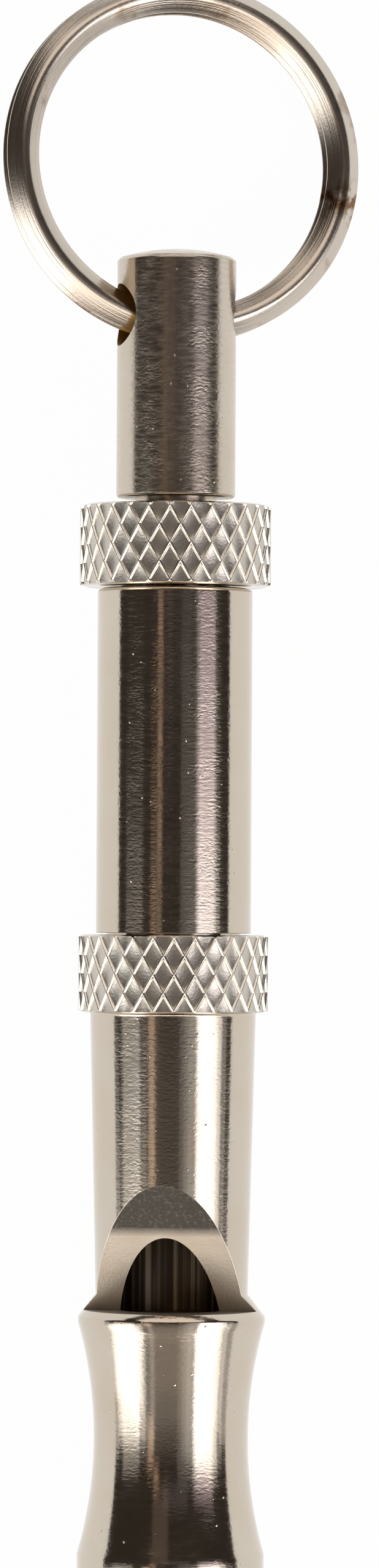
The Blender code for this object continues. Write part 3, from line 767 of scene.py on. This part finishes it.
class WHISTLE_OT_body(bpy.types.Operator):
    """Turn the mouthpiece and the sounding tube, knurl the collar and cut the window"""

    bl_idname = "whistle.body"
    bl_label = "Body"

    def execute(self, context):
        sizes = context.scene.whistle_body
        knurl = context.scene.whistle_knurl
        finish = context.scene.whistle_finish
        collar_bottom = COLLAR_TOP - sizes.collar_length
        root = sizes.collar_radius - knurl.chamfer_depth
        socket_floor = SPIGOT_END - sizes.socket_gap
        corners = [
            (root, COLLAR_TOP, 0.0),
            (sizes.collar_radius, COLLAR_TOP - knurl.chamfer, 0.0),
            (sizes.collar_radius, collar_bottom + knurl.chamfer, 0.0),
            (root, collar_bottom, 0.0),
            (sizes.tube_top_radius, collar_bottom, sizes.collar_fillet),
            (sizes.tube_bottom_radius, sizes.mouth_length + sizes.shoulder_length, sizes.rim_round),
            (sizes.rim_radius, sizes.mouth_length, sizes.rim_round),
        ]
        rim_bottom = sizes.mouth_length - sizes.rim_land
        lip_top = sizes.lip_round + sizes.lip_land
        corners += hourglass(sizes.rim_radius, sizes.waist_radius, rim_bottom, lip_top)
        corners += [
            (sizes.rim_radius, 0.0, sizes.lip_round),
            (sizes.bore_radius, 0.0, sizes.rim_round),
            (sizes.bore_radius, socket_floor, 0.0),
            (sizes.socket_radius, socket_floor, 0.0),
            (sizes.socket_radius, COLLAR_TOP, 0.0),
        ]
        plate = bright_nickel(finish, "bright_nickel_plate", finish.gloss, finish.grain)
        body = turned("plated_body", corners, plate)
        middle = COLLAR_TOP - sizes.collar_length / 2
        cut_knurl(body, "collar", sizes.collar_radius, middle, sizes.window_roll, context.scene)
        self.cut_window(body, sizes, finish)
        self.dull_inside(body, sizes, finish)
        set_up(body, "whistle", "whistle_body")
        return {"FINISHED"}

    def cut_window(self, body, sizes, finish):
        """Cuts the window with a wedge that is wider and higher than the body, and breaks its edge."""
        far = 1.5 * sizes.rim_radius
        bottom = sizes.mouth_length + sizes.window_ledge
        top = bottom + (far - sizes.window_depth) / tan(sizes.window_slope)
        wedge = [
            (-far, bottom, sizes.window_depth),
            (-far, bottom, far),
            (-far, top, far),
            (-far, bottom, sizes.window_depth),
        ]
        cutter = draw("window_cutter", wedge)
        fill()
        bpy.ops.mesh.extrude_region_move(TRANSFORM_OT_translate={"value": (2 * far, 0.0, 0.0)})
        close_up()
        bpy.ops.object.mode_set(mode="OBJECT")
        cutter.rotation_euler = (0.0, -sizes.window_roll, 0.0)
        settle(cutter)
        cutter.data.materials.append(milled_nickel(finish, bottom))
        work_with(body, cutter, "DIFFERENCE")
        break_edges(body, len(body.data.materials) - 1, sizes.window_edge)

    def dull_inside(self, body, sizes, finish):
        """Gives the faces of the bore their own dull finish."""
        body.data.materials.append(dull_bore(finish))
        body.active_material_index = len(body.data.materials) - 1
        bpy.ops.object.mode_set(mode="EDIT")
        inside = sizes.bore_radius + SAME
        choose(body, "FACE", lambda face: all(hypot(v.co.x, v.co.z) < inside for v in face.verts))
        bpy.ops.object.material_slot_assign()
        bpy.ops.object.mode_set(mode="OBJECT")


class WHISTLE_OT_barrel(bpy.types.Operator):
    """Turn the barrel with its spigot and tapped hole"""

    bl_idname = "whistle.barrel"
    bl_label = "Barrel"

    def execute(self, context):
        sizes = context.scene.whistle_barrel
        bore = context.scene.whistle_body.bore_radius
        seat = COLLAR_TOP + sizes.seat_gap
        threaded_bottom = BARREL_TOP - sizes.threaded_length
        chamfer = sizes.mouth_chamfer
        corners = [
            (sizes.radius, BARREL_TOP, sizes.edge_round),
            (sizes.radius, seat, sizes.seat_edge),
            (sizes.spigot_radius, seat, 0.0),
            (sizes.spigot_radius, SPIGOT_END, 0.0),
            (bore, SPIGOT_END, 0.0),
            (bore, threaded_bottom, 0.0),
            (sizes.tapped_radius, threaded_bottom, 0.0),
            (sizes.tapped_radius, BARREL_TOP - chamfer, 0.0),
            (sizes.tapped_radius + chamfer, BARREL_TOP, 0.0),
        ]
        barrel = turned("plated_barrel", corners, bpy.data.materials["bright_nickel_plate"])
        set_up(barrel, "whistle", "barrel")
        return {"FINISHED"}


class WHISTLE_OT_lock_nut(bpy.types.Operator):
    """Turn and knurl the lock nut"""

    bl_idname = "whistle.lock_nut"
    bl_label = "Lock nut"

    def execute(self, context):
        sizes = context.scene.whistle_barrel
        knurl = context.scene.whistle_knurl
        root = sizes.nut_radius - knurl.chamfer_depth
        chamfer = sizes.mouth_chamfer
        corners = [
            (root, NUT_TOP, 0.0),
            (sizes.nut_radius, NUT_TOP - knurl.chamfer, 0.0),
            (sizes.nut_radius, NUT_BOTTOM + knurl.chamfer, 0.0),
            (root, NUT_BOTTOM, 0.0),
            (sizes.tapped_radius + chamfer, NUT_BOTTOM, 0.0),
            (sizes.tapped_radius, NUT_BOTTOM + chamfer, 0.0),
            (sizes.tapped_radius, NUT_TOP - chamfer, 0.0),
            (sizes.tapped_radius + chamfer, NUT_TOP, 0.0),
        ]
        nut = turned("plated_lock_nut", corners, bpy.data.materials["bright_nickel_plate"])
        middle = (NUT_BOTTOM + NUT_TOP) / 2
        cut_knurl(nut, "nut", sizes.nut_radius, middle, sizes.nut_turn, context.scene)
        set_up(nut, "lock_nut", "lock_nut")
        return {"FINISHED"}


class WHISTLE_OT_tuning_screw(bpy.types.Operator):
    """Turn the stem and the rod, cut the thread and drill the cross hole"""

    bl_idname = "whistle.tuning_screw"
    bl_label = "Tuning screw"

    def execute(self, context):
        sizes = context.scene.whistle_screw
        finish = context.scene.whistle_finish
        stem_bottom = NUT_TOP + sizes.stem_gap
        stem_top = DOME_TOP - sizes.dome
        thread_end = stem_bottom - sizes.thread_length
        core = sizes.thread_radius - sizes.thread_depth
        rim = sizes.stem_radius - sizes.stem_edge
        dome_radius = (rim**2 + sizes.dome**2) / (2 * sizes.dome)
        corners = []
        for step in range(DOME_STEPS):
            radius = rim * step / DOME_STEPS
            corners.append((radius, DOME_TOP - dome_radius + sqrt(dome_radius**2 - radius**2), 0.0))
        rod_end = PISTON_TOP + sizes.gap
        rivet_top = RIVET_BOTTOM + sizes.rivet_length
        corners += [
            (rim, stem_top, sizes.dome_edge),
            (sizes.stem_radius, stem_top - sizes.stem_edge, sizes.dome_edge),
            (sizes.stem_radius, stem_bottom, sizes.stem_edge),
            (core, stem_bottom, 0.0),
            (core, thread_end, 0.0),
            (sizes.rod_radius, thread_end - sizes.run_out, 0.0),
            (sizes.rod_radius, rod_end, 0.0),
            (sizes.tenon_radius, rod_end, 0.0),
            (sizes.tenon_radius, rivet_top, 0.0),
            (sizes.rivet_radius, rivet_top, 0.0),
            (sizes.rivet_radius, RIVET_BOTTOM, sizes.rivet_round),
            (0.0, RIVET_BOTTOM, 0.0),
        ]
        worn = bright_nickel(finish, "worn_nickel_plate", finish.worn_gloss, 2 * finish.grain)
        screw = turned("plated_tuning_screw", corners, worn)
        self.cut_thread(screw, sizes, thread_end, stem_bottom)
        self.drill_hole(screw, sizes, finish)
        set_up(screw, "tuning_screw", "tuning_screw")
        return {"FINISHED"}

    def drill_hole(self, screw, sizes, finish):
        """Drills the cross hole for the ring through the stem, and breaks its edges."""
        bpy.ops.object.select_all(action="DESELECT")
        bpy.ops.mesh.primitive_cylinder_add(
            vertices=TOOL_STEPS,
            radius=sizes.hole_radius,
            depth=4 * sizes.stem_radius,
            location=HOLE_CENTRE,
            rotation=Vector((0.0, 0.0, 1.0)).rotation_difference(HOLE_AXIS).to_euler(),
        )
        drill = bpy.context.object
        settle(drill)
        drill.data.materials.append(bare_brass(finish))
        work_with(screw, drill, "DIFFERENCE")
        break_edges(screw, len(screw.data.materials) - 1, sizes.hole_edge)

    def cut_thread(self, screw, sizes, bottom, top):
        """Winds the thread one pitch too long at each end, trims it and joins it to the screw."""
        pitch = sizes.thread_pitch
        inside = sizes.thread_radius - sizes.thread_depth - sizes.thread_sink
        flat = sizes.crest * pitch
        start = bottom - pitch
        ridge = [
            (inside, start, 0.0),
            (sizes.thread_radius, start + pitch / 2 - flat, 0.0),
            (sizes.thread_radius, start + pitch / 2 + flat, 0.0),
            (inside, start + pitch, 0.0),
        ]
        thread = draw("screw_thread", ridge)
        turns = round((top - bottom) / pitch) + 2
        bpy.ops.mesh.select_all(action="SELECT")
        bpy.ops.mesh.screw(steps=THREAD_STEPS, turns=turns, center=ORIGIN, axis=(0.0, -1.0, 0.0))
        bpy.ops.mesh.select_all(action="SELECT")
        bpy.ops.mesh.remove_doubles(threshold=10 * WELD)
        bpy.ops.mesh.fill_holes(sides=0)
        close_up()
        bpy.ops.object.mode_set(mode="OBJECT")
        wide = 2 * sizes.thread_radius
        inside_stem = top + sizes.stem_edge
        ends = ((0.0, inside_stem), (wide, inside_stem), (wide, bottom), (0.0, bottom))
        trimmer = turned("thread_length", [(*end, 0.0) for end in ends], steps=TOOL_STEPS)
        work_with(thread, trimmer, "INTERSECT")
        thread.data.materials.clear()
        thread.data.materials.append(screw.data.materials[0])
        work_with(screw, thread, "UNION")


class WHISTLE_OT_split_ring(bpy.types.Operator):
    """Wind the split ring from one flattened wire"""

    bl_idname = "whistle.split_ring"
    bl_label = "Split ring"

    def execute(self, context):
        sizes = context.scene.whistle_ring
        stem_radius = context.scene.whistle_screw.stem_radius
        finish = context.scene.whistle_finish
        thickness = (sizes.height - sizes.hairline) / 2
        pitch = thickness + sizes.hairline
        half = sizes.wire_width / 2
        middle = sizes.radius - half
        foot = -sizes.height / 2
        ridge = sizes.side + half * tan(sizes.slope)
        ridge_round = (ridge - thickness) / (1 / cos(sizes.slope) - 1)
        roof = [
            (middle - half, foot, sizes.foot_round),
            (middle + half, foot, sizes.foot_round),
            (middle + half, foot + sizes.side, sizes.eave_round),
            (middle, foot + ridge, ridge_round),
            (middle - half, foot + sizes.side, sizes.eave_round),
        ]
        section = [(x, 0.0, z) for x, z in rounded(roof)]
        ring = draw("wound_split_ring", section + section[:1])
        fill()
        turn = tau - sizes.crossover - sizes.end_gap
        about = {"center": ORIGIN, "axis": (0.0, 0.0, -1.0)}
        bpy.ops.mesh.spin(steps=RING_STEPS, angle=turn, **about)
        for step in range(CLIMB_STEPS):
            bpy.ops.mesh.spin(steps=1, angle=sizes.crossover / CLIMB_STEPS, **about)
            before, after = (cos(pi * (step + i) / CLIMB_STEPS) for i in (0, 1))
            bpy.ops.transform.translate(value=(0.0, 0.0, pitch * (before - after) / 2))
        bpy.ops.mesh.spin(steps=RING_STEPS, angle=turn, **about)
        close_up()
        bpy.ops.object.mode_set(mode="OBJECT")

        # The wire's bow in the stem, up to its outer top and down to its inner edge, is centred in the hole
        inner = sizes.radius - sizes.wire_width
        bow_top = sqrt(inner**2 - (stem_radius + sizes.shift) ** 2)
        reach = (sizes.radius + bow_top) / 2
        stem_turn = atan2(-HOLE_AXIS.z, HOLE_AXIS.x)
        place = (
            Matrix.Translation(HOLE_CENTRE)
            @ Matrix.Rotation(-pi / 2, 4, "X")
            @ Matrix.Rotation(stem_turn, 4, "Z")
            @ Matrix.Rotation(-sizes.lean, 4, "X")
            @ Matrix.Translation((sizes.shift, 0.0, reach))
            @ Matrix.Rotation(pi / 2, 4, "X")
        )
        ring.matrix_world = place @ Matrix.Rotation(sizes.split + sizes.end_gap, 4, "Z")
        settle(ring)
        ring.data.materials.append(ring_wire(finish, place.inverted()))
        set_up(ring, "split_ring", "split_ring")
        return {"FINISHED"}


class WHISTLE_OT_brass_insides(bpy.types.Operator):
    """Turn the piston and the windway plug from brass"""

    bl_idname = "whistle.brass_insides"
    bl_label = "Piston and windway plug"

    def execute(self, context):
        sizes = context.scene.whistle_screw
        body = context.scene.whistle_body
        brass = bpy.data.materials["bare_turned_brass"]
        radius = body.bore_radius - sizes.running_gap
        edge = sizes.brass_edge
        hole = sizes.tenon_radius + sizes.running_gap
        recess = sizes.rivet_radius + sizes.gap
        recess_top = RIVET_BOTTOM + sizes.rivet_length + sizes.gap
        corners = [
            (radius, PISTON_TOP, edge),
            (radius, PISTON_BOTTOM, edge),
            (recess, PISTON_BOTTOM, 0.0),
            (recess, recess_top, 0.0),
            (hole, recess_top, 0.0),
            (hole, PISTON_TOP, 0.0),
        ]
        piston = turned("brass_piston", corners, brass)
        set_up(piston, "piston", "piston")

        corners = [(0.0, PLUG_TOP, 0.0), (radius, PLUG_TOP, edge), (radius, 0.0, edge), (0.0, 0.0, 0.0)]
        plug = turned("brass_windway_plug", corners, brass)
        up = Vector((-sin(body.window_roll), 0.0, cos(body.window_roll)))
        bpy.ops.object.mode_set(mode="EDIT")
        bpy.ops.mesh.select_all(action="SELECT")
        flat = up * (body.bore_radius - sizes.windway)
        bpy.ops.mesh.bisect(plane_co=flat, plane_no=up, clear_outer=True)
        close_up()
        choose(plug, "EDGE", lambda edge: edge.is_boundary)
        bpy.ops.mesh.edge_face_add()
        close_up()
        bpy.ops.object.mode_set(mode="OBJECT")
        set_up(plug, "whistle", "windway_plug")
        return {"FINISHED"}


def add_panel(name, location, turn, width, height, level, tint):
    """A flat soft lamp whose face has the given brightness."""
    bpy.ops.object.light_add(type="AREA", location=location, rotation=turn)
    lamp = bpy.context.object
    lamp.name = name
    lamp.data.shape = "RECTANGLE"
    lamp.data.size = width
    lamp.data.size_y = height
    lamp.data.color = tint
    lamp.data.energy = level * pi * width * height


def add_strip(name, distance, lean, across, top, long, level, tint):
    """A long lamp over the whistle: it leans to one side, and runs from its top towards the mouth end."""
    centre = (distance * sin(lean), top - long / 2, distance * cos(lean))
    add_panel(name, centre, (0.0, lean, 0.0), 2 * distance * tan(across / 2), long, level, tint)


def add_wall(name, top, bottom, width, level, tint):
    """A wide lamp across the whistle's axis, between two edges at (along the axis, height)."""
    top = Vector(top)
    bottom = Vector(bottom)
    middle = (top + bottom) / 2
    drop = bottom - top
    lean = atan2(drop.y, drop.x)
    # The lit side faces the whistle
    if sin(lean) * middle.x - cos(lean) * middle.y > 0.0:
        lean += pi
    add_panel(name, (0.0, middle.x, middle.y), (lean, 0.0, 0.0), width, drop.length, level, tint)


class WHISTLE_OT_stage(bpy.types.Operator):
    """Set the white table, the dim room, the lamps and the camera"""

    bl_idname = "whistle.stage"
    bl_label = "Stage"

    def execute(self, context):
        scene = context.scene
        settings = scene.whistle_stage
        bpy.ops.object.select_all(action="DESELECT")
        bpy.ops.mesh.primitive_plane_add(size=settings.floor_size, location=(0.0, 0.0, FLOOR_HEIGHT))
        floor = bpy.context.object
        floor.name = floor.data.name = "table"
        settle(floor)
        floor.data.materials.append(white_table(settings))

        world = bpy.data.worlds.new("dim_room")
        world.use_nodes = True
        world.node_tree.nodes["Background"].inputs["Color"].default_value = opaque(settings.room)
        scene.world = world
        self.hang_lamps(settings)
        scene.camera = self.aim_camera(settings)
        scene.view_settings.view_transform = "Standard"
        return {"FINISHED"}

    def hang_lamps(self, settings):
        """Hangs the long lamps over the whistle, and the walls past its ends.

        Lamps that overlap in one plane hide each other in reflections, so each hangs a step behind the last.
        """
        white = (1.0, 1.0, 1.0)
        # Name, lean and width in degrees, end on the ring's side and length in metres, brightness, colour
        strips = (
            ("right_lamp", 53.0, 39.0, 0.03, 0.95, 0.9, white),
            ("right_lamp_wide", 56.0, 46.0, -0.09, 0.85, 0.5, white),
            ("right_lamp_edge", 51.0, 30.0, 0.06, 0.98, 0.6, white),
            ("right_lamp_end", 50.0, 24.0, 0.1, 1.0, 0.42, settings.dusk),
            ("right_lamp_far", 48.0, 30.0, 0.15, 1.1, 0.28, settings.dusk),
            ("right_lamp_rim", 84.0, 12.0, -0.05, 0.85, 0.45, white),
            ("right_lamp_skirt", 48.5, 65.0, 0.0, 0.95, 0.14, white),
            ("right_lamp_skirt_inner", 51.5, 59.0, 0.01, 0.95, 0.14, white),
            ("right_lamp_skirt_end", 27.0, 34.0, 0.08, 0.98, 0.1, white),
            ("left_lamp", -66.0, 36.0, -0.09, 0.85, 1.0, white),
            ("left_lamp_wide", -65.0, 48.0, -0.2, 0.75, 0.7, white),
            ("left_lamp_edge", -63.0, 32.0, -0.048, 0.9, 0.5, white),
            ("left_lamp_end", -61.0, 28.0, 0.035, 0.95, 0.3, white),
            ("left_lamp_inner", -41.0, 8.0, -0.03, 0.7, 0.25, white),
            ("left_lamp_inner_end", -46.0, 16.0, -0.09, 0.46, 0.45, white),
            ("left_lamp_rim", -86.0, 8.0, -0.03, 0.9, 0.4, white),
            ("left_lamp_skirt", -56.0, 64.0, -0.07, 0.85, 0.22, white),
            ("brown_card", -21.0, 7.0, 0.105, 0.075, 0.7, settings.card),
            ("brown_card_far", -14.0, 22.0, 0.5, 0.395, 0.12, settings.card),
            ("brown_card_wide", -30.0, 9.0, 0.03, 0.2, 0.85, settings.card),
            ("ceiling_near", 6.0, 36.0, 0.2, 0.095, 0.08, settings.dusk),
            ("ceiling", 0.0, 60.0, 0.0, 0.9, 0.05, settings.wall),
            ("ceiling_middle", 0.0, 60.0, -0.06, 0.85, 0.07, settings.wall),
            ("ceiling_far", 0.0, 60.0, -0.15, 0.75, 0.1, settings.wall),
            ("ceiling_end", 0.0, 60.0, -0.3, 0.6, 0.08, settings.wall),
        )
        for order, (name, lean, across, top, long, strength, tint) in enumerate(strips):
            distance = settings.lamp_distance + order * settings.lamp_step
            level = settings.lamp_level * strength
            add_strip(name, distance, radians(lean), radians(across), top, long, level, tint)
        # Name, upper and lower edge as place along the axis and height, width, brightness
        walls = (
            ("mouth_side_wall", (-0.9, 1.1), (-0.9, 0.52), 3.0, 2.3),
            ("ring_side_wall", (0.52, 0.8), (1.1, 0.2), 1.1, 1.2),
        )
        for name, top, bottom, width, strength in walls:
            add_wall(name, top, bottom, width, settings.lamp_level * strength, settings.wall)

    def aim_camera(self, settings):
        """The camera over the whistle, at the photograph's angle."""
        aim = Vector((settings.aim_across, settings.aim_along, 0.0))
        eye = Vector((settings.camera_across, settings.camera_along, settings.camera_height))
        look = aim - eye
        turn = (atan2(look.y, -look.z), atan2(-look.x, -look.z), settings.camera_roll)
        bpy.ops.object.camera_add(location=eye, rotation=turn)
        camera = bpy.context.object
        camera.name = "camera"
        camera.data.sensor_width = 36.0
        camera.data.lens = camera.data.sensor_width * settings.camera_height / settings.view_height
        return camera


class WHISTLE_PT_panel(bpy.types.Panel):
    """Lists the pieces and their settings"""

    bl_idname = "WHISTLE_PT_panel"
    bl_label = "Ultrasonic whistle"
    bl_space_type = "VIEW_3D"
    bl_region_type = "UI"
    bl_category = "Whistle"

    def draw(self, context):
        for operator in OPERATORS:
            self.layout.operator(operator.bl_idname)
        for name, group in GROUPS.items():
            box = self.layout.box()
            box.label(text=group.__doc__)
            for key in group.__annotations__:
                box.prop(getattr(context.scene, name), key)


GROUPS = {
    "whistle_body": WhistleBodySizes,
    "whistle_knurl": WhistleKnurlSizes,
    "whistle_barrel": WhistleBarrelSizes,
    "whistle_screw": WhistleScrewSizes,
    "whistle_ring": WhistleRingSizes,
    "whistle_finish": WhistleFinish,
    "whistle_stage": WhistleStage,
}

OPERATORS = (
    WHISTLE_OT_body,
    WHISTLE_OT_barrel,
    WHISTLE_OT_lock_nut,
    WHISTLE_OT_tuning_screw,
    WHISTLE_OT_split_ring,
    WHISTLE_OT_brass_insides,
    WHISTLE_OT_stage,
)


def register():
    for name, group in GROUPS.items():
        bpy.utils.register_class(group)
        setattr(bpy.types.Scene, name, PointerProperty(type=group))
    for made in (*OPERATORS, WHISTLE_PT_panel):
        bpy.utils.register_class(made)


def unregister():
    for made in reversed((*OPERATORS, WHISTLE_PT_panel)):
        bpy.utils.unregister_class(made)
    for name, group in reversed(GROUPS.items()):
        delattr(bpy.types.Scene, name)
        bpy.utils.unregister_class(group)


def main():
    """Registers the classes, and makes the pieces and the stage in order."""
    register()
    bpy.ops.whistle.body()
    bpy.ops.whistle.barrel()
    bpy.ops.whistle.lock_nut()
    bpy.ops.whistle.tuning_screw()
    bpy.ops.whistle.split_ring()
    bpy.ops.whistle.brass_insides()
    bpy.ops.whistle.stage()


if __name__ == "__main__":
    main()
